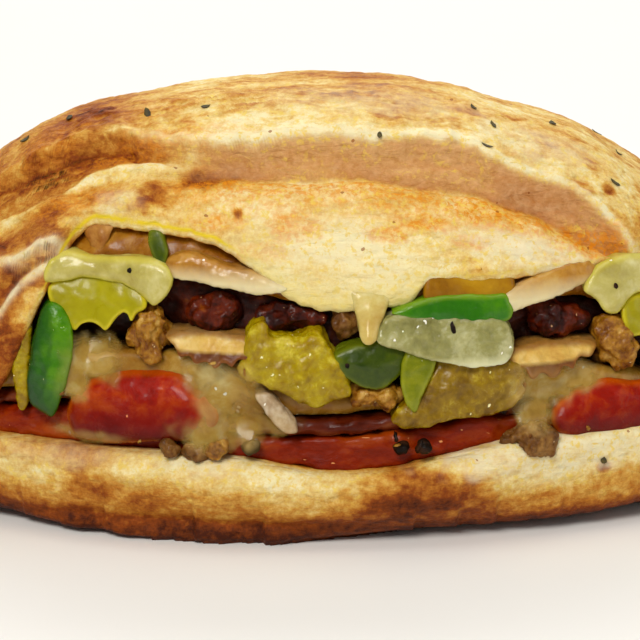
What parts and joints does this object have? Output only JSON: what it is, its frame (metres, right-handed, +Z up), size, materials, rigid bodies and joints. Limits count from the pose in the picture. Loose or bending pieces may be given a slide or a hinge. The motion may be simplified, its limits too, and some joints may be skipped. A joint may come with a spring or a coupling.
{
  "type": "stromboli",
  "caption": "Baked dough loaf open along its front over layered meat and melted cheese with strips of pepper, onion, mushroom, tomato and sausage crumbs.",
  "frame": {"origin": "on the table under the middle of the loaf", "axes": "+X along the loaf, -Y out of its open front, +Z up"},
  "size_m": [0.194, 0.0991, 0.0798],
  "materials": {
    "crust": "baked dough, floury and browned",
    "pepperoni": "sliced cured meat, moist",
    "ham": "sliced ham, moist",
    "cheese": "melted cheese, glossy",
    "cheddar": "melted yellow cheese",
    "meat": "browned meat in shade, dark",
    "sausage": "crumbled sausage, browned",
    "burnt": "charred crumb",
    "green_pepper": "cooked green pepper, wet gloss",
    "banana_pepper": "pickled yellow pepper, wet gloss",
    "onion": "cooked onion, translucent",
    "mushroom": "cooked mushroom slice",
    "tomato": "cooked tomato, wet gloss"
  },
  "bodies": {
    "root": {"crust": "crust", "pepperoni_layer": "pepperoni", "ham_layer": "ham", "cheese_layer": "cheese", "meat_layer": "meat", "upper_cheese_layer": "cheese", "pepper_strip_left": "green_pepper", "onion_strip_left": "onion", "banana_ring_left": "banana_pepper", "cheese_ribbon_left": "cheese", "onion_flap_left": "onion", "pepper_bit_left": "green_pepper", "cheese_ledge_left": "cheese", "sausage_left": "sausage", "mushroom_left": "mushroom", "tomato_left": "tomato", "sausage_bit_left": "sausage", "sausage_bit_middle": "sausage", "sausage_bit_right": "sausage", "meat_left": "meat", "sausage_dark": "meat", "sausage_dark_small": "sausage", "banana_chunk_left": "banana_pepper", "pepper_wedge": "green_pepper", "pepper_strip_light": "green_pepper", "onion_crescent": "onion", "pepper_strip_top": "green_pepper", "cheddar_slice": "cheddar", "sausage_pale": "sausage", "banana_chunk_right": "banana_pepper", "cheese_drip": "cheese", "onion_slice_low": "onion", "burnt_bit_left": "burnt", "burnt_bit_middle": "burnt", "burnt_bit_right": "burnt", "cheese_ribbon_right": "cheese", "banana_ring_right": "banana_pepper", "pepper_strip_right": "green_pepper", "cheese_ledge_right": "cheese", "sausage_right": "sausage", "mushroom_right": "mushroom", "tomato_right": "tomato", "sausage_low_right": "sausage", "meat_right": "meat"}
  },
  "joints": []
}
